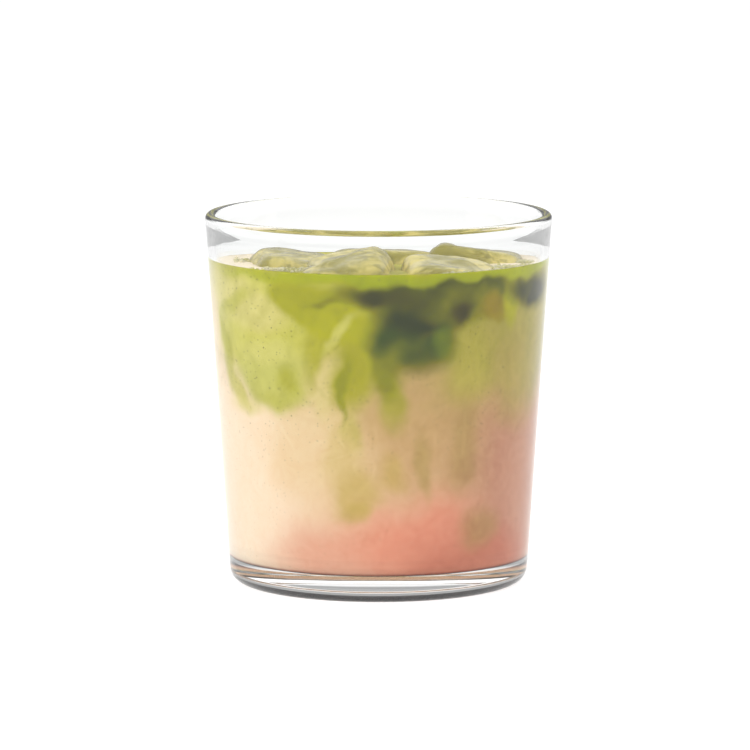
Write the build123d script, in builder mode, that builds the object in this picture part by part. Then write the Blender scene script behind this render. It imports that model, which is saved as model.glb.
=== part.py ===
from build123d import *
import os
from math import cos, pi, sin

# Iced matcha latte in a plain tapered tumbler, in millimetres, with +Z up.
# The origin is on the table, at the middle of the glass's resting ring.
# Green matcha, cream and pink fruit milk lie in uneven layers, and five melting
# ice cubes break the surface. The drink is cut round the ice.

# Glass
GLASS_HEIGHT = 92.0
RIM_RADIUS = 43.0  # outside of the rounded lip
FOOT_RADIUS = 36.8  # the outer wall's taper, carried on down to the table
WALL_AT_LIP = 2.2
WALL_AT_FOOT = 2.6
BASE_THICKNESS = 6.6  # from the table up to the inside floor
HEEL_RADIUS = 3.8  # outside, where the wall turns under
FLOOR_CORNER_RADIUS = 3.0  # inside, where the wall meets the floor
LIP_BEAD = 0.25  # how far the rounded lip stands proud of the wall, each side
NECK_DROP = 2.6  # from the lip's middle down to where its swelling starts
RING_INNER_RADIUS = 25.0  # inner edge of the ring that the glass stands on
RECESS_RADIUS = 15.0  # flat middle of the underside
RECESS_RISE = 1.0  # height of that flat above the table

# Drink
HEADSPACE = 11.3  # from the rim down to the surface of the drink
MATCHA_DEPTH = 31.0  # mean thickness of the green layer
MATCHA_WAVE = 3.2  # its underside swings this far up and down
FRUIT_DEPTH = 15.0  # mean thickness of the pink layer on the floor
FRUIT_WAVE = 1.8
FRUIT_LEAN = 5.0  # the pink layer's top rises this much from the left wall to the right
GRID_STEPS = 10  # squares along each side of the layer surfaces

# Ice
ICE_EDGE = 20.0  # edge of a cube before it melts unevenly
ICE_GAP = 1.6  # free drink between two cubes that lie a pitch apart
ICE_ROUNDING = 5.0
ICE_TO_WALL = 0.8

# Each cube: place in pitches from the axis (right, back), its three edges as shares
# of ICE_EDGE, how far it stands out of the drink, and its tilt, lean and turn.
ICE_CUBES = [
    ((-1.00, 0.06), (0.90, 1.08, 0.95), 4.0, (8, 10, 12)),
    ((-0.30, -0.92), (0.88, 0.98, 1.05), 3.9, (14, -12, -9)),
    ((0.04, 0.42), (1.00, 0.96, 0.90), 2.2, (-6, 5, 4)),
    ((0.74, -0.88), (0.98, 0.92, 1.00), 3.7, (11, 9, 7)),
    ((1.06, 0.36), (0.86, 0.98, 0.95), 3.2, (-7, 12, -5)),
]

lip_radius = WALL_AT_LIP / 2 + LIP_BEAD
lip_height = GLASS_HEIGHT - lip_radius
neck_height = lip_height - NECK_DROP
drink_level = GLASS_HEIGHT - HEADSPACE


def outer_radius(height):
    """Radius of the outer wall, a straight taper from the foot up to the neck."""
    return FOOT_RADIUS + (RIM_RADIUS - LIP_BEAD - FOOT_RADIUS) * height / neck_height


def inner_radius(height):
    """Radius of the inner wall, which thickens evenly from the neck to the foot."""
    wall = WALL_AT_FOOT + (WALL_AT_LIP - WALL_AT_FOOT) * height / neck_height
    return outer_radius(height) - wall


def inside_outline(top, clearance=0.0):
    """Half outline of the inside up to a height, for a sketch on the XZ plane."""
    floor = BASE_THICKNESS + clearance
    with BuildSketch(Plane.XZ) as outline:
        with BuildLine():
            Polyline(
                (0, floor),
                (inner_radius(floor) - clearance, floor),
                (inner_radius(top) - clearance, top),
                (0, top),
                close=True,
            )
        make_face()
        corner = outline.vertices().group_by(Axis.Y)[0].sort_by(Axis.X)[-1]
        fillet(corner, FLOOR_CORNER_RADIUS)
    return outline.sketch


def ripple(x, y):
    """A smooth uneven swing between about -1 and 1 across the inside of the glass."""
    swing = sin(2 * pi * x / RIM_RADIUS / 1.7 + 0.6) + cos(2 * pi * y / RIM_RADIUS / 2.1 - 0.9)
    return 0.5 * swing * cos(pi * (x + y) / RIM_RADIUS / 3)


def below_surface(height, wave, lean):
    """Everything below an uneven surface that lies at a mean height."""
    step = 2 * RIM_RADIUS / GRID_STEPS
    along = [i * step - RIM_RADIUS for i in range(GRID_STEPS + 1)]
    grid = [
        [Vector(x, y, height + wave * ripple(x, y) + lean * x / RIM_RADIUS / 2) for y in along]
        for x in along
    ]
    surface = Face.make_surface_from_array_of_points(grid)
    with BuildPart() as block:
        extrude(to_extrude=surface, amount=height, dir=(0, 0, -1))
    return block.part


def ice_location(place, edges, rise, turns):
    """Where a cube's centre goes, so that its highest point is at the rise above the drink."""
    turned = Location((0, 0, 0), turns)
    axes = (turned.x_axis, turned.y_axis, turned.z_axis)
    reach = sum(abs(axis.direction.Z) * (edge / 2 - ICE_ROUNDING) for axis, edge in zip(axes, edges))
    pitch = ICE_EDGE + ICE_GAP
    center_height = drink_level + rise - reach - ICE_ROUNDING
    return Location((place[0] * pitch, place[1] * pitch, center_height), turns)


# Glass: the tapered wall, the thick base with its recessed underside, and the lip
with BuildPart() as glass:
    with BuildSketch(Plane.XZ) as section:
        with BuildLine():
            Polyline(
                (RIM_RADIUS - 2 * lip_radius, lip_height),
                (inner_radius(neck_height), neck_height),
                (0, neck_height),
                (0, RECESS_RISE),
                (RECESS_RADIUS, RECESS_RISE),
                (RING_INNER_RADIUS, 0),
                (FOOT_RADIUS, 0),
                (outer_radius(neck_height), neck_height),
                (RIM_RADIUS, lip_height),
            )
            CenterArc((RIM_RADIUS - lip_radius, lip_height), lip_radius, 0, 180)
        make_face()
        heel = section.vertices().group_by(Axis.Y)[0].sort_by(Axis.X)[-1]
        fillet(heel, HEEL_RADIUS)
        add(inside_outline(neck_height), mode=Mode.SUBTRACT)
    revolve(axis=Axis.Z)
glass.part.label = "glass"

# Ice: rounded cubes, trimmed where one would come too near the wall
with BuildPart() as ice_room:
    add(inside_outline(GLASS_HEIGHT, ICE_TO_WALL))
    revolve(axis=Axis.Z)

ice_cubes = []
for number, (place, shares, rise, turns) in enumerate(ICE_CUBES, start=1):
    edges = [share * ICE_EDGE for share in shares]
    with BuildPart() as cube:
        with Locations(ice_location(place, edges, rise, turns)):
            Box(*edges)
        fillet(cube.edges(), ICE_ROUNDING)
        add(ice_room.part, mode=Mode.INTERSECT)
    cube.part.label = f"ice_cube_{number}"
    ice_cubes.append(cube.part)

# Drink: everything poured in, cut round the ice
with BuildPart() as drink:
    add(inside_outline(drink_level))
    revolve(axis=Axis.Z)
    for cube in ice_cubes:
        add(cube, mode=Mode.SUBTRACT)

below_matcha = below_surface(drink_level - MATCHA_DEPTH, MATCHA_WAVE, 0)
below_milk = below_surface(BASE_THICKNESS + FRUIT_DEPTH, FRUIT_WAVE, FRUIT_LEAN)

# The three layers, top to bottom
with BuildPart() as matcha_layer:
    add(drink.part)
    add(below_matcha, mode=Mode.SUBTRACT)
matcha_layer.part.label = "matcha_layer"

with BuildPart() as milk_layer:
    add(drink.part)
    add(below_matcha, mode=Mode.INTERSECT)
    add(below_milk, mode=Mode.SUBTRACT)
milk_layer.part.label = "milk_layer"

with BuildPart() as fruit_layer:
    add(drink.part)
    add(below_milk, mode=Mode.INTERSECT)
fruit_layer.part.label = "fruit_layer"

os.makedirs("parts", exist_ok=True)
for piece in [glass.part, matcha_layer.part, milk_layer.part, fruit_layer.part] + ice_cubes:
    export_step(piece, f"parts/{piece.label}.step")
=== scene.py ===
import bpy
import bmesh
import math
import numpy as np
import random
from mathutils import Euler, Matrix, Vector, noise


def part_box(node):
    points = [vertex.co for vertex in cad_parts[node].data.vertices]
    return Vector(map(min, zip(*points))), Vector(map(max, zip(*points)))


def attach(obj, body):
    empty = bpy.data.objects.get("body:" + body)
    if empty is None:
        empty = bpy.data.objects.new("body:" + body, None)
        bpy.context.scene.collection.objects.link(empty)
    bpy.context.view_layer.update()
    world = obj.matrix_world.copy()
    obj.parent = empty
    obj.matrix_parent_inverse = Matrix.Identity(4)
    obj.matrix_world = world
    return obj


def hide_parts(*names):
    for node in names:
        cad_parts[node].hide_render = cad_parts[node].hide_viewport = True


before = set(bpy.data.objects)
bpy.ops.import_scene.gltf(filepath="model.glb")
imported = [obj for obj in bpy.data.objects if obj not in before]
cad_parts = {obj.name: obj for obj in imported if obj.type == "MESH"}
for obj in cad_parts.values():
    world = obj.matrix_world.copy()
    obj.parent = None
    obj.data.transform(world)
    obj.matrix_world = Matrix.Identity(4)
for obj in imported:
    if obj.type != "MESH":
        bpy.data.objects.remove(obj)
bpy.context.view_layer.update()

# Iced matcha latte: lengths in metres unless a name says mm. The camera looks along +Y.
MM = 0.001
GLASS_SEGMENTS = 192
DRINK_SEGMENTS = 440

# The glass, worked out from the frame and the wall's own few sizes
rim_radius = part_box("glass")[1].x
glass_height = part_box("glass")[1].z
drink_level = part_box("matcha_layer")[1].z
floor_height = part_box("fruit_layer")[0].z
FOOT_RADIUS = 36.8 * MM
WALL_AT_LIP = 2.2 * MM
WALL_AT_FOOT = 2.6 * MM
LIP_BEAD = 0.25 * MM
NECK_DROP = 2.6 * MM
HEEL_RADIUS = 3.8 * MM
FLOOR_CORNER = 3.0 * MM
RING_INNER_RADIUS = 25 * MM
RECESS_RADIUS = 15 * MM
RECESS_RISE = 1.0 * MM
INTO_WALL = 0.12 * MM  # the drink reaches this far into the wall, so that no air gap shows
lip_radius = WALL_AT_LIP / 2 + LIP_BEAD
lip_height = glass_height - lip_radius
neck_height = lip_height - NECK_DROP


def outer_radius(z):
    return FOOT_RADIUS + (rim_radius - LIP_BEAD - FOOT_RADIUS) * z / neck_height


def inner_radius(z):
    return outer_radius(z) - WALL_AT_FOOT - (WALL_AT_LIP - WALL_AT_FOOT) * z / neck_height


# Meshes -------------------------------------------------------------------------------

def arc(center, radius, start, end, steps):
    """Points on an arc in the (r, z) plane, from one angle to another, in degrees."""
    angles = [math.radians(start + (end - start) * i / steps) for i in range(steps + 1)]
    return [(center[0] + radius * math.cos(a), center[1] + radius * math.sin(a)) for a in angles]


def new_object(name, mesh, material=None):
    piece = bpy.data.objects.new(name, mesh)
    bpy.context.scene.collection.objects.link(piece)
    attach(piece, "root")
    if material:
        mesh.materials.append(material)
    return piece


def lathe(name, profile, segments):
    """A closed solid of revolution from a profile that starts and ends on the axis."""
    bm = bmesh.new()
    rings = []
    for r, z in profile:
        if r < 1e-7:
            rings.append([bm.verts.new((0, 0, z))])
            continue
        turns = [2 * math.pi * i / segments for i in range(segments)]
        rings.append([bm.verts.new((r * math.sin(a), -r * math.cos(a), z)) for a in turns])
    for low, high in zip(rings, rings[1:]):
        for i in range(segments):
            j = (i + 1) % segments
            corners = [low[i % len(low)], low[j % len(low)], high[j % len(high)], high[i % len(high)]]
            bm.faces.new(list(dict.fromkeys(corners)))
    bmesh.ops.recalc_face_normals(bm, faces=bm.faces)
    for face in bm.faces:
        face.smooth = True
    mesh = bpy.data.meshes.new(name)
    bm.to_mesh(mesh)
    bm.free()
    return mesh


def floor_corner(radius_gain=0.0):
    """The rounded corner between the inside floor and the wall, from the floor outwards."""
    center = (inner_radius(floor_height) - FLOOR_CORNER, floor_height + FLOOR_CORNER)
    return arc(center, FLOOR_CORNER + radius_gain, -90, 0, 10)


# Node helpers -------------------------------------------------------------------------

def srgb(red, green, blue):
    def linear(c):
        c /= 255
        return c / 12.92 if c <= 0.04045 else ((c + 0.055) / 1.055) ** 2.4
    return (linear(red), linear(green), linear(blue), 1)


def material(name):
    mat = bpy.data.materials.new(name)
    mat.use_nodes = True
    tree = mat.node_tree
    return mat, tree, tree.nodes["Principled BSDF"]


def math_node(tree, operation, a, b=None):
    node = tree.nodes.new("ShaderNodeMath")
    node.operation = operation
    for socket, value in zip(node.inputs, (a, b)):
        if hasattr(value, "links"):
            tree.links.new(value, socket)
        elif value is not None:
            socket.default_value = value
    return node.outputs[0]


def noise_node(tree, vector, scale, detail=3.0, roughness=0.5, distortion=0.0):
    node = tree.nodes.new("ShaderNodeTexNoise")
    tree.links.new(vector, node.inputs["Vector"])
    node.inputs["Scale"].default_value = scale
    node.inputs["Detail"].default_value = detail
    node.inputs["Roughness"].default_value = roughness
    node.inputs["Distortion"].default_value = distortion
    return node


def smooth_range(tree, value, low, high, to_low=0.0, to_high=1.0):
    node = tree.nodes.new("ShaderNodeMapRange")
    node.interpolation_type = "SMOOTHSTEP"
    tree.links.new(value, node.inputs["Value"])
    node.inputs["From Min"].default_value = low
    node.inputs["From Max"].default_value = high
    node.inputs["To Min"].default_value = to_low
    node.inputs["To Max"].default_value = to_high
    return node.outputs["Result"]


def mix_colour(tree, factor, under, over, blend="MIX"):
    node = tree.nodes.new("ShaderNodeMix")
    node.data_type = "RGBA"
    node.blend_type = blend
    sockets = [s for s in node.inputs if s.enabled]
    for socket, value in zip(sockets, (factor, under, over)):
        if hasattr(value, "links"):
            tree.links.new(value, socket)
        else:
            socket.default_value = value
    return [s for s in node.outputs if s.enabled][0]


def object_vector(tree):
    return tree.nodes.new("ShaderNodeTexCoord").outputs["Object"]


# Colours of the drink -----------------------------------------------------------------
# The cream and the paler cream at the far left are partly the drink's own colour and partly painted light
# from the left. The tan and the rose tan are partly its own colour and partly painted shade on the right.
CREAM_WITH_PAINTED_LIGHT = srgb(253, 232, 205)
SAND = srgb(240, 214, 170)
TAN_WITH_PAINTED_SHADE = srgb(208, 172, 122)
ROSE_TAN_WITH_PAINTED_SHADE = srgb(205, 150, 124)
PALE_PINK = srgb(236, 180, 152)
PINK = srgb(234, 160, 132)
DEEP_PINK = srgb(206, 128, 104)
LIME = srgb(182, 190, 20)
PALE_LIME = srgb(212, 208, 104)
PALE_ICE = srgb(226, 216, 142)
YELLOW_GREEN = srgb(178, 176, 26)
DARK_OLIVE = srgb(78, 78, 22)
DEEP_GREEN = srgb(84, 96, 8)
BLUE_GREEN = srgb(76, 92, 26)
OCHRE = srgb(164, 142, 26)
OLIVE_TAN = srgb(184, 172, 88)
DUSTY_OLIVE = srgb(196, 172, 100)
BROWN_OLIVE = srgb(184, 148, 94)
BOTTOM_EDGE = srgb(140, 62, 40)
# Painted shade: the drink's underside is nearly black, for the dark band seen in the glass's base.
PAINTED_SHADE_UNDERSIDE = srgb(34, 26, 22)

# Swirls at the wall: azimuth from the front in degrees, height in mm, half width in
# degrees, half height in mm, turn in degrees, colour, strength, softness of the edge.
SOFT_SWIRLS = [
    # The cream rows at the left hold painted light and the tan rows at the right hold painted shade,
    # besides the drink's own marbling.
    (-70, 30, 50, 34, 0, CREAM_WITH_PAINTED_LIGHT, 1.0, 0.5),
    (-22, 40, 22, 16, 0, SAND, 0.8, 0.6),
    (30, 46, 34, 20, 0, TAN_WITH_PAINTED_SHADE, 0.8, 0.6),
    (66, 30, 30, 34, 0, ROSE_TAN_WITH_PAINTED_SHADE, 0.9, 0.6),
    (-8, 9, 34, 11, 0, PALE_PINK, 1.0, 0.7),
    (16, 15, 24, 11, -10, PINK, 1.0, 0.7),
    (44, 8, 34, 9, 0, DEEP_PINK, 0.9, 0.7),
    (62, 62, 34, 15, 0, OLIVE_TAN, 0.9, 0.5),
    (58, 54, 10, 10, 0, DUSTY_OLIVE, 0.5, 0.8),
    (32, 60, 12, 9, 0, srgb(196, 186, 88), 0.8, 0.7),
    (-45, 68, 36, 13, 0, PALE_LIME, 1.0, 0.35),
    (-10, 62, 14, 14, 0, srgb(186, 182, 62), 0.9, 0.5),
    (-74, 74, 14, 7, 0, PALE_ICE, 0.8, 0.6),
    # Partly painted light: the paler cream along the far left edge.
    (-82, 58, 14, 14, 0, srgb(248, 226, 190), 0.8, 0.6),
]
SWIRLS = [
    (-40, 55, 17, 8.5, 0, srgb(206, 204, 112), 1.0, 0.35),
    (-32, 54, 5, 3, 0, srgb(184, 182, 58), 0.7, 0.8),
    (-40, 49, 12, 2.2, 0, srgb(190, 188, 84), 0.6, 0.7),
    (-42, 61, 13, 3, 0, srgb(222, 216, 128), 0.7, 0.7),
    (-68, 62, 3.6, 7, -18, srgb(184, 182, 40), 0.9, 0.6),
    (-61, 51, 3.6, 7, -28, srgb(196, 192, 74), 0.8, 0.6),
    (-56, 46, 7, 2.2, 0, srgb(222, 212, 130), 0.6, 0.8),
    (-48, 72, 15, 5.5, 8, PALE_ICE, 0.8, 0.5),
    (-46, 77, 9, 2.2, 8, srgb(226, 222, 122), 0.6, 0.7),
    (-62, 72, 10, 1.8, -30, srgb(188, 188, 52), 0.6, 0.8),
    (-28, 74, 16, 4.2, 16, YELLOW_GREEN, 1.0, 0.5),
    (-14, 69, 14, 4.0, 20, srgb(186, 184, 34), 0.9, 0.6),
    (-38, 80, 26, 1.4, 0, LIME, 0.6, 0.8),
    (-13, 66, 1.7, 5.5, 28, srgb(216, 210, 118), 0.8, 0.7),
    (-18, 53, 3.4, 8, 20, srgb(230, 212, 150), 0.85, 0.6),
    (-8, 56, 6, 8, 6, srgb(178, 174, 52), 0.8, 0.6),
    (-12, 50, 1.6, 8, 4, srgb(152, 154, 24), 0.85, 0.6),
    (-10, 42, 4.5, 4, 0, srgb(190, 184, 78), 0.75, 0.7),
    (-14, 38, 7, 8, 0, srgb(222, 200, 134), 0.7, 0.7),
    (-8, 28, 8, 6, 20, srgb(208, 184, 108), 0.8, 0.6),
    (-7, 24, 4.5, 2.2, 0, srgb(198, 176, 88), 0.6, 0.8),
    (5, 33, 4.5, 3.5, -30, srgb(204, 178, 100), 0.7, 0.8),
    (17, 34, 2.6, 7.5, 2, srgb(190, 164, 100), 0.7, 0.7),
    (32, 40, 4.5, 10, 0, srgb(190, 162, 100), 0.65, 0.8),
    (35, 33, 3, 3, 0, srgb(182, 148, 96), 0.5, 0.8),
    (42, 18, 9, 4.5, 4, BROWN_OLIVE, 0.75, 0.7),
    (6, 49, 4.0, 7, -14, srgb(174, 170, 62), 0.85, 0.7),
    (12, 66, 15, 9, 0, DEEP_GREEN, 1.0, 0.4),
    (4, 57, 5.5, 7, 0, srgb(142, 144, 26), 0.9, 0.6),
    (13, 73, 14, 6, 10, srgb(70, 76, 6), 1.0, 0.5),
    (3, 65, 3.0, 4, 20, BLUE_GREEN, 0.7, 0.8),
    (22, 65, 4, 5, 0, srgb(116, 132, 36), 0.8, 0.7),
    (4, 77, 18, 2.8, -8, DARK_OLIVE, 1.0, 0.6),
    (36, 77.5, 24, 2.2, 2, srgb(92, 96, 26), 1.0, 0.6),
    (36, 74, 20, 3.6, 0, srgb(134, 134, 26), 0.9, 0.6),
    (46, 72.5, 7.5, 3.0, 0, OCHRE, 0.9, 0.6),
    (30, 72.5, 4.6, 3.4, 0, srgb(70, 66, 20), 1.0, 0.8),
    (54, 73, 3.0, 5, 0, srgb(188, 186, 40), 0.9, 0.7),
    (68, 75.5, 13, 3.4, 10, srgb(74, 76, 24), 1.0, 0.6),
    (-18, 73.5, 6, 0.8, 4, srgb(118, 118, 28), 0.6, 0.9),
    (40, 80.3, 60, 1.2, 0, srgb(184, 194, 18), 0.8, 0.7),
    (-4, 80.0, 20, 1.6, -4, srgb(176, 186, 16), 0.9, 0.7),
]
# Round the back the same kinds of swirl hang at other places, turned and mirrored.
BACK_TURNS = (145, -140)
BACK_REACH = 34  # degrees from the front within which a swirl is repeated
ARC_MM_PER_DEGREE = inner_radius(50 * MM) / MM * math.pi / 180


def back_swirls(turn):
    """Every second swirl near the front again, mirrored about an azimuth at the back."""
    for azimuth, height, width, tall, angle, colour, strength, soft in SWIRLS[::2]:
        if abs(azimuth) < BACK_REACH:
            yield (turn - azimuth, height + 2, width, tall, -angle, colour, strength, soft)


# Noise scale and its reach in mm, from slow eddies to fine curls
FLOW_LAYERS = ((38.0, 4.0), (95.0, 3.4), (240.0, 1.5), (560.0, 0.6))
FINE_REACH = 0.55  # the swirls are carried this share as far as the layers say
EDDY_OFFSETS = [Vector((3.1, 7.7, 1.3)), Vector((19.4, 2.6, 11.9)), Vector((5.8, 31.2, 23.5))]
EDGE_SOFTNESS = 0.86  # on every row's softness
VEIN_SCALE = 120.0
VEIN_COLOUR = srgb(150, 150, 26)
VEIN_STRENGTH = 0.15
VEIN_WIDTH = 0.32
EDGE_BAND_MM = (6.7, 7.5)  # a dark red line at the foot of the wall
# Heights in mm over which the painted shade on the drink's underside fades out.
PAINTED_SHADE_UNDERSIDE_MM = (6.62, 6.9)
GLASS_VEIL = 0.034  # taken off every colour, because the glass in front looks paler by about this


def eddy(place):
    """Three noise values at fixed offsets; noise_vector would differ from run to run."""
    return [noise.noise(place + offset) for offset in EDDY_OFFSETS]


def flow(points, layers):
    """How far slow and fine eddies carry the colour at each point, in mm, as (n, 3)."""
    carried = np.zeros((len(points), 3))
    for scale, reach in layers:
        carried += reach * np.array([eddy(p * scale) for p in points])
    return carried


def smoothstep(values, low, high):
    share = np.clip((values - low) / (high - low), 0, 1)
    return share * share * (3 - 2 * share)


def lay_over(under, over, share):
    return under + (np.array(over) - under) * share[:, None]


def swirl(colours, along, height, row):
    """Lays one swirl, a soft-edged ellipse on the unrolled wall, over the colours."""
    azimuth, middle, width, tall, angle, colour, strength, soft = row
    soft *= EDGE_SOFTNESS
    away = along - azimuth * ARC_MM_PER_DEGREE + 180 * ARC_MM_PER_DEGREE
    away = away % (360 * ARC_MM_PER_DEGREE) - 180 * ARC_MM_PER_DEGREE
    up = height - middle
    turn = math.radians(angle)
    u = (away * math.cos(turn) - up * math.sin(turn)) / (width * ARC_MM_PER_DEGREE)
    v = (away * math.sin(turn) + up * math.cos(turn)) / tall
    share = strength * (1 - smoothstep(np.hypot(u, v), 1 - soft, 1 + soft))
    return lay_over(colours, colour, share)


def veins(points, carried, height):
    """Soft olive streaks in the green part, where stretched noise passes through zero."""
    stretched = [Vector((p.x, p.y, p.z * 0.45)) + Vector(c) * MM for p, c in zip(points, carried)]
    level = np.abs(np.array([noise.noise(p * VEIN_SCALE) for p in stretched]))
    return (1 - smoothstep(level, 0.0, VEIN_WIDTH)) * smoothstep(height + carried[:, 1], 40, 56)


def swirl_colours(mesh):
    """The drink's colour at every vertex, from the swirls, warped by flowing eddies."""
    points = [v.co.copy() for v in mesh.vertices]
    places = np.array(points) / MM
    along = np.degrees(np.arctan2(places[:, 0], -places[:, 1])) * ARC_MM_PER_DEGREE
    soft = flow(points, FLOW_LAYERS[:2])
    fine = flow(points, FLOW_LAYERS) * FINE_REACH
    height = places[:, 2]
    colours = np.tile(np.array(srgb(238, 198, 164)), (len(points), 1))
    colours = lay_over(colours, srgb(214, 190, 126), smoothstep(height + soft[:, 1], 20, 52))
    colours = lay_over(colours, srgb(188, 184, 74), smoothstep(height + soft[:, 1], 50, 66))
    for row in SOFT_SWIRLS:
        colours = swirl(colours, along + soft[:, 0], height + soft[:, 1], row)
    back = [row for turn in BACK_TURNS for row in back_swirls(turn)]
    for row in back + SWIRLS:
        colours = swirl(colours, along + fine[:, 0], height + fine[:, 1], row)
    colours = lay_over(colours, VEIN_COLOUR, VEIN_STRENGTH * veins(points, soft + fine, height))
    colours = lay_over(colours, BOTTOM_EDGE, 0.8 * (1 - smoothstep(height, *EDGE_BAND_MM)))
    # Painted shade: the drink's underside turns nearly black.
    colours = lay_over(colours, PAINTED_SHADE_UNDERSIDE, 1 - smoothstep(height, *PAINTED_SHADE_UNDERSIDE_MM))
    colours[:, :3] = np.clip(colours[:, :3] - GLASS_VEIL, 0.002, 1)
    layer = mesh.color_attributes.new("swirls", "FLOAT_COLOR", "POINT")
    layer.data.foreach_set("color", colours.ravel())


def specks(tree, place, colour, dark, scale, size, share):
    """Tiny flecks of matcha: the middles of a few cells of a Voronoi texture."""
    cells = tree.nodes.new("ShaderNodeTexVoronoi")
    tree.links.new(place, cells.inputs["Vector"])
    cells.inputs["Scale"].default_value = scale
    near = smooth_range(tree, cells.outputs["Distance"], size * 0.6, size, 1.0, 0.0)
    chosen = tree.nodes.new("ShaderNodeSeparateColor")
    tree.links.new(cells.outputs["Color"], chosen.inputs[0])
    kept = math_node(tree, "LESS_THAN", chosen.outputs[0], share)
    factor = math_node(tree, "MULTIPLY", near, kept)
    split = tree.nodes.new("ShaderNodeSeparateXYZ")
    tree.links.new(place, split.inputs[0])
    strength = smooth_range(tree, split.outputs["Z"], 0.3 * drink_level, 0.8 * drink_level, 0.2, 0.8)
    faded = math_node(tree, "MULTIPLY", factor, strength)
    return mix_colour(tree, faded, colour, dark)


def drink_material():
    mat, tree, shader = material("drink_swirls")
    place = object_vector(tree)
    painted = tree.nodes.new("ShaderNodeAttribute")
    painted.attribute_name = "swirls"
    cloud = noise_node(tree, place, 210.0, 5.0, 0.65, 1.4)
    colour = mix_colour(tree, 0.38, painted.outputs["Color"], cloud.outputs["Fac"], "SOFT_LIGHT")
    colour = specks(tree, place, colour, srgb(92, 88, 20), 1150.0, 0.2, 0.4)
    colour = specks(tree, place, colour, srgb(104, 92, 28), 620.0, 0.16, 0.3)
    tree.links.new(colour, shader.inputs["Base Color"])
    shader.inputs["Roughness"].default_value = 0.5
    shader.inputs["Specular IOR Level"].default_value = 0.05
    return mat


FILM_WOBBLE = 8 * MM


def surface_material():
    """The drink's top: lime tea with a pale beige film at both sides."""
    mat, tree, shader = material("drink_surface")
    place = object_vector(tree)
    split = tree.nodes.new("ShaderNodeSeparateXYZ")
    tree.links.new(place, split.inputs[0])
    film_noise = noise_node(tree, place, 60.0, 4.0, 0.6, 1.0)
    wobble = math_node(tree, "MULTIPLY_ADD", film_noise.outputs["Fac"], 2 * FILM_WOBBLE)
    wobble.node.inputs[2].default_value = -FILM_WOBBLE
    side = math_node(tree, "ABSOLUTE", split.outputs["X"])
    side = math_node(tree, "ADD", side, wobble)
    film = smooth_range(tree, side, 0.020, 0.031)
    mottle = smooth_range(tree, film_noise.outputs["Fac"], 0.35, 0.65)
    green = mix_colour(tree, mottle, srgb(134, 130, 34), srgb(190, 184, 74))
    colour = mix_colour(tree, film, green, srgb(238, 224, 196))
    front = math_node(tree, "ADD", split.outputs["Y"], wobble)
    front = smooth_range(tree, front, -0.040, -0.033, 1.0, 0.0)
    colour = mix_colour(tree, front, colour, srgb(196, 200, 60))
    colour = specks(tree, place, colour, srgb(110, 104, 30), 700.0, 0.2, 0.2)
    tree.links.new(colour, shader.inputs["Base Color"])
    shader.inputs["Roughness"].default_value = 0.6
    shader.inputs["Specular IOR Level"].default_value = 0.02
    return mat


def ice_material():
    mat, tree, shader = material("wet_ice")
    place = object_vector(tree)
    cloud = noise_node(tree, place, 90.0, 4.0, 0.6, 0.8)
    share = smooth_range(tree, cloud.outputs["Fac"], 0.38, 0.62)
    colour = mix_colour(tree, share, srgb(158, 148, 34), srgb(216, 200, 110))
    veins = noise_node(tree, place, 210.0, 3.0, 0.5, 1.5)
    vein = smooth_range(tree, veins.outputs["Fac"], 0.56, 0.64, 0.0, 0.6)
    split = tree.nodes.new("ShaderNodeSeparateXYZ")
    tree.links.new(place, split.inputs[0])
    # Painted shade: lumps further back are darkened towards olive.
    shade_at_back = smooth_range(tree, split.outputs["Y"], 0.0, 0.012, 0.0, 0.85)
    colour = mix_colour(tree, shade_at_back, colour, srgb(146, 136, 22))
    colour = mix_colour(tree, vein, colour, srgb(138, 130, 40))
    tree.links.new(colour, shader.inputs["Base Color"])
    clear = smooth_range(tree, cloud.outputs["Fac"], 0.4, 0.6, 0.3, 0.1)
    tree.links.new(clear, shader.inputs["Transmission Weight"])
    shader.inputs["Roughness"].default_value = 0.12
    shader.inputs["IOR"].default_value = 1.31
    shader.inputs["Specular IOR Level"].default_value = 0.3
    bump = tree.nodes.new("ShaderNodeBump")
    tree.links.new(veins.outputs["Fac"], bump.inputs["Height"])
    bump.inputs["Strength"].default_value = 0.25
    bump.inputs["Distance"].default_value = 0.5 * MM
    tree.links.new(bump.outputs[0], shader.inputs["Normal"])
    return mat


def through_for_shadows(tree, shader):
    """Lets the lamps' rays straight through, so that what is behind glass is lit."""
    path = tree.nodes.new("ShaderNodeLightPath")
    clear = tree.nodes.new("ShaderNodeBsdfTransparent")
    mix = tree.nodes.new("ShaderNodeMixShader")
    tree.links.new(path.outputs["Is Shadow Ray"], mix.inputs[0])
    tree.links.new(shader.outputs[0], mix.inputs[1])
    tree.links.new(clear.outputs[0], mix.inputs[2])
    tree.links.new(mix.outputs[0], tree.nodes["Material Output"].inputs["Surface"])


def glass_material():
    mat, tree, shader = material("clear_glass")
    shader.inputs["Base Color"].default_value = (0.985, 0.992, 0.988, 1)
    shader.inputs["Transmission Weight"].default_value = 1
    shader.inputs["IOR"].default_value = 1.5
    shader.inputs["Specular IOR Level"].default_value = 0.1
    wear = noise_node(tree, object_vector(tree), 45.0, 2.0)
    rough = smooth_range(tree, wear.outputs["Fac"], 0.3, 0.8, 0.0, 0.02)
    tree.links.new(rough, shader.inputs["Roughness"])
    bump = tree.nodes.new("ShaderNodeBump")
    tree.links.new(wear.outputs["Fac"], bump.inputs["Height"])
    bump.inputs["Strength"].default_value = 0.15
    bump.inputs["Distance"].default_value = 0.4 * MM
    tree.links.new(bump.outputs[0], shader.inputs["Normal"])
    through_for_shadows(tree, shader)
    return mat


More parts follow.
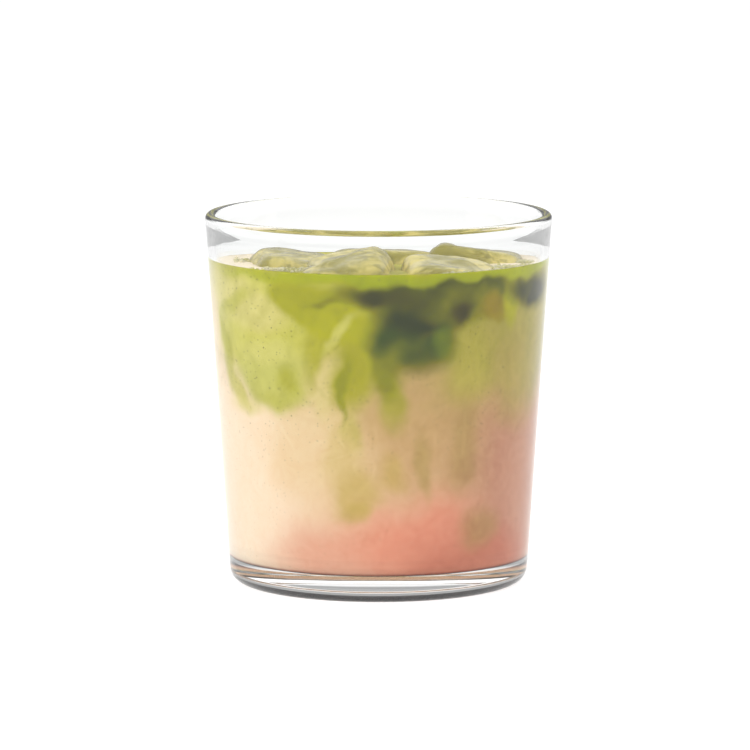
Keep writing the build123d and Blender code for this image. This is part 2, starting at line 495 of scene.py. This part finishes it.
def bubble_material():
    mat, tree, shader = material("froth_bubbles")
    tint = noise_node(tree, object_vector(tree), 300.0, 2.0)
    share = smooth_range(tree, tint.outputs["Fac"], 0.35, 0.65)
    colour = mix_colour(tree, share, srgb(214, 208, 110), srgb(244, 238, 200))
    tree.links.new(colour, shader.inputs["Base Color"])
    shader.inputs["Transmission Weight"].default_value = 0.5
    shader.inputs["Roughness"].default_value = 0.06
    shader.inputs["IOR"].default_value = 1.2
    return mat


# Glass --------------------------------------------------------------------------------
wall_lean = math.degrees(math.atan2(outer_radius(1) - outer_radius(0), 1))
heel_center_r = outer_radius(HEEL_RADIUS) - HEEL_RADIUS / math.cos(math.radians(wall_lean))
glass_profile = (
    [(0, RECESS_RISE), (RECESS_RADIUS - 0.5 * MM, RECESS_RISE)]
    + [(RECESS_RADIUS + 0.5 * MM, RECESS_RISE * 0.93)]
    + [(RING_INNER_RADIUS - 1 * MM, 0.08 * MM), (RING_INNER_RADIUS + 0.5 * MM, 0)]
    + arc((heel_center_r, HEEL_RADIUS), HEEL_RADIUS, -90, -wall_lean, 14)
    + [(outer_radius(neck_height * i / 8), neck_height * i / 8) for i in range(1, 9)]
    + arc((rim_radius - lip_radius, lip_height), lip_radius, 0, 180, 20)
    + [(inner_radius(neck_height * i / 8), neck_height * i / 8) for i in range(8, 1, -1)]
    + floor_corner()[::-1]
    + [(inner_radius(floor_height) * share, floor_height) for share in (0.8, 0.5, 0.2)]
    + [(0, floor_height)]
)
tumbler = new_object("tumbler", lathe("tumbler", glass_profile, GLASS_SEGMENTS), glass_material())
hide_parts("glass")

# Ice ----------------------------------------------------------------------------------
ICE_TURNS = [(8, 10, 12), (14, -12, -9), (-6, 5, 4), (11, 9, 7), (-7, 12, -5)]
ICE_ROUNDNESS = 5.5  # 2 is a ball, higher is nearer to a cube
ICE_SPREAD = 1.2  # the photo's lumps run into one another
BACK_SPREAD = 1.45
BACK_FROM = 5 * MM
MIDDLE_HALF_WIDTH = 12 * MM
ICE_LIFT = 1.9 * MM  # for the lumps at the back and in the middle
ICE_OFF_WALL = 0.6 * MM
wet_ice = ice_material()


def ice_lump(name, node, turns, seed):
    """A melting cube: a rounded cube with slow hollows, about its CAD cube's place."""
    low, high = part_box(node)
    center, half = (low + high) / 2, (high - low) / 2
    turn = Euler([math.radians(a) for a in turns]).to_matrix()
    behind = center.y > BACK_FROM
    spread = (BACK_SPREAD if behind else ICE_SPREAD, ICE_SPREAD, 1)
    lift = ICE_LIFT if behind or abs(center.x) < MIDDLE_HALF_WIDTH else 0
    bm = bmesh.new()
    bmesh.ops.create_cube(bm, size=2)
    bmesh.ops.subdivide_edges(bm, edges=bm.edges, cuts=23, use_grid_fill=True)
    for v in bm.verts:
        p = v.co.normalized()
        reach = sum(abs(c) ** ICE_ROUNDNESS for c in p) ** (-1 / ICE_ROUNDNESS)
        lump = 1 + 0.07 * noise.noise(p * 1.6 + Vector((seed, 0, 0)))
        lump += 0.025 * noise.noise(p * 4.5 + Vector((0, seed, 0)))
        v.co = p * reach * lump
    points = [turn @ v.co for v in bm.verts]
    size = Vector([max(abs(p[i]) for p in points) for i in range(3)])
    for v, p in zip(bm.verts, points):
        v.co = Vector([center[i] + p[i] / size[i] * half[i] * spread[i] for i in range(3)])
        v.co.z += lift
        v.co.xy *= min(1, (inner_radius(v.co.z) - ICE_OFF_WALL) / max(1e-6, v.co.xy.length))
    for face in bm.faces:
        face.smooth = True
    mesh = bpy.data.meshes.new(name)
    bm.to_mesh(mesh)
    bm.free()
    piece = new_object(name, mesh, wet_ice)
    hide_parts(node)


for number, turns in enumerate(ICE_TURNS, start=1):
    ice_lump(f"ice_lump_{number}", f"ice_cube_{number}", turns, 3.7 * number)

# Drink --------------------------------------------------------------------------------
MENISCUS_RISE = 0.9 * MM
MENISCUS_REACH = 1.6 * MM
TOP_RINGS = 50
DIMPLE = 2.2 * MM
REST_BELOW = 0.35 * MM  # the middle of the top lies this far under the CAD drink's level
RIPPLE = 0.25 * MM
ice_boxes = [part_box(f"ice_cube_{number}") for number in range(1, 6)]


def surface_height(x, y, edge):
    """Height of the drink's top: it climbs the wall, ripples, and sinks under the ice."""
    rise = MENISCUS_RISE * math.exp(-(edge - math.hypot(x, y)) / MENISCUS_REACH)
    ripple = RIPPLE * noise.noise(Vector((x, y, 0)) * 120)
    sink = 0
    for low, high in ice_boxes:
        u = abs(x - (low.x + high.x) / 2) / (high.x - low.x) * 2.5
        v = abs(y - (low.y + high.y) / 2) / (high.y - low.y) * 2.5
        sink = max(sink, min(1, max(0, (1.05 - (u**4 + v**4) ** 0.25) / 0.2)))
    return drink_level - REST_BELOW + rise + ripple - DIMPLE * sink


def drink_mesh():
    edge = inner_radius(drink_level) + INTO_WALL
    wall_steps = 130
    profile = [(0, floor_height - INTO_WALL), (inner_radius(floor_height) * 0.6, floor_height - INTO_WALL)]
    profile += floor_corner(INTO_WALL)
    first = profile[-1][1]
    top = drink_level - REST_BELOW + MENISCUS_RISE
    for i in range(1, wall_steps + 1):
        z = first + (top - first) * i / wall_steps
        profile.append((inner_radius(z) + INTO_WALL, z))
    side_rings = len(profile)
    profile += [(edge * (1 - i / TOP_RINGS), top) for i in range(1, TOP_RINGS + 1)]
    mesh = lathe("drink", profile, DRINK_SEGMENTS)
    for v in mesh.vertices:
        r = math.hypot(v.co.x, v.co.y)
        if v.co.z > top - 1e-6 and r < edge * (1 - 0.5 / TOP_RINGS):
            v.co.z = surface_height(v.co.x, v.co.y, edge)
    top_faces = (side_rings - 1) * DRINK_SEGMENTS
    for face in mesh.polygons[top_faces:]:
        face.material_index = 1
    swirl_colours(mesh)
    return mesh


drink = new_object("drink", drink_mesh(), drink_material())
drink.data.materials.append(surface_material())
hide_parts("matcha_layer", "milk_layer", "fruit_layer")

# Froth --------------------------------------------------------------------------------
# Patches of small bubbles: place in mm (right, back), half size in mm, how many.
FROTH_PATCHES = [((-19, -20), (9, 3), 260), ((27, -16), (8, 5), 520), ((20, -31), (4, 1.5), 60),
                 ((36, -2), (2.5, 4), 50), ((-34, 6), (2, 6), 50), ((0, 30), (16, 4), 120)]


def ball_template():
    """Corners and faces of a small ball of radius 1."""
    bm = bmesh.new()
    bmesh.ops.create_icosphere(bm, subdivisions=2, radius=1)
    corners = [v.co.copy() for v in bm.verts]
    faces = [[v.index for v in f.verts] for f in bm.faces]
    bm.free()
    return corners, faces


def bubbles():
    random.seed(7)
    corners, faces = ball_template()
    points, polygons = [], []
    edge = inner_radius(drink_level)
    for (x0, y0), (wide, deep), count in FROTH_PATCHES:
        for _ in range(count):
            x = (x0 + random.gauss(0, wide / 2)) * MM
            y = (y0 + random.gauss(0, deep / 2)) * MM
            size = random.uniform(0.25, 0.62) * MM * random.uniform(0.6, 1.2)
            if math.hypot(x, y) > edge - size:
                continue
            center = Vector((x, y, surface_height(x, y, edge) + 0.2 * size))
            polygons += [[len(points) + i for i in face] for face in faces]
            points += [center + corner * size for corner in corners]
    mesh = bpy.data.meshes.new("froth")
    mesh.from_pydata(points, [], polygons)
    mesh.shade_smooth()
    return mesh


new_object("froth", bubbles(), bubble_material())

# Floor, light and camera --------------------------------------------------------------
FLOOR_SIZE = 60.0
FLOOR_GLOW = 0.78
FLOOR_COLOUR = (0.45, 0.45, 0.45, 1)
ROOM_LIGHT = 0.5


def seen_directly(tree):
    """1 for rays from the camera and those bent or mirrored on their way, else 0."""
    path = tree.nodes.new("ShaderNodeLightPath")
    both = math_node(tree, "MAXIMUM", path.outputs["Is Camera Ray"], path.outputs["Is Glossy Ray"])
    return math_node(tree, "MAXIMUM", both, path.outputs["Is Transmission Ray"])


def make_floor():
    bpy.ops.mesh.primitive_plane_add(size=FLOOR_SIZE)
    ground = bpy.context.object
    ground.name = "floor"
    mat, tree, shader = material("pale_floor")
    shader.inputs["Roughness"].default_value = 1
    shader.inputs["Specular IOR Level"].default_value = 0
    shader.inputs["Emission Color"].default_value = (1, 1, 1, 1)
    shader.inputs["Base Color"].default_value = FLOOR_COLOUR
    glow = math_node(tree, "MULTIPLY", seen_directly(tree), FLOOR_GLOW)
    tree.links.new(glow, shader.inputs["Emission Strength"])
    ground.data.materials.append(mat)


def make_world():
    """A soft white room, darker on the camera's side and low down near the horizon."""
    world = bpy.data.worlds.new("studio")
    bpy.context.scene.world = world
    world.use_nodes = True
    tree = world.node_tree
    back = tree.nodes["Background"]
    way = tree.nodes.new("ShaderNodeTexCoord").outputs["Generated"]
    split = tree.nodes.new("ShaderNodeSeparateXYZ")
    tree.links.new(way, split.inputs[0])
    room = smooth_range(tree, split.outputs["Y"], -0.8, -0.1, 0.25, 1.0)
    low_down = smooth_range(tree, split.outputs["Z"], 0.16, 0.28, 0.4, 1.0)
    room = math_node(tree, "MULTIPLY", room, low_down)
    seen = seen_directly(tree)
    strength = tree.nodes.new("ShaderNodeMix")
    tree.links.new(seen, strength.inputs[0])
    strength.inputs[2].default_value = ROOM_LIGHT
    tree.links.new(room, strength.inputs[3])
    tree.links.new(strength.outputs[0], back.inputs["Strength"])
    back.inputs["Color"].default_value = (1, 1, 1, 1)


def area_lamp(name, place, target, size, power):
    data = bpy.data.lights.new(name, "AREA")
    data.shape = "RECTANGLE"
    data.size, data.size_y = size
    data.energy = power
    lamp = bpy.data.objects.new(name, data)
    lamp.location = place
    lamp.rotation_euler = (Vector(target) - Vector(place)).to_track_quat("-Z", "Y").to_euler()
    bpy.context.scene.collection.objects.link(lamp)
    lamp.visible_glossy = False
    lamp.visible_transmission = False


def make_camera():
    distance, elevation, aim = 1.5, math.radians(7.72), 51.37 * MM
    data = bpy.data.cameras.new("camera")
    data.sensor_width = 36
    data.lens = 290.1
    data.shift_x = -0.0048
    data.clip_end = 50
    camera = bpy.data.objects.new("camera", data)
    camera.location = (0, -distance * math.cos(elevation), aim + distance * math.sin(elevation))
    camera.rotation_euler = (math.pi / 2 - elevation, 0, 0)
    bpy.context.scene.collection.objects.link(camera)
    bpy.context.scene.camera = camera


make_floor()
make_world()
area_lamp("key", (-0.9, -0.8, 0.7), (0, 0, 0.05), (0.6, 0.6), 9.5)
area_lamp("fill", (0.9, -0.6, 0.5), (0, 0, 0.05), (0.6, 0.6), 5.5)
area_lamp("top", (0.1, 0.3, 1.2), (0, 0, 0.05), (0.8, 0.8), 5)
make_camera()
bpy.context.scene.view_settings.view_transform = "Standard"
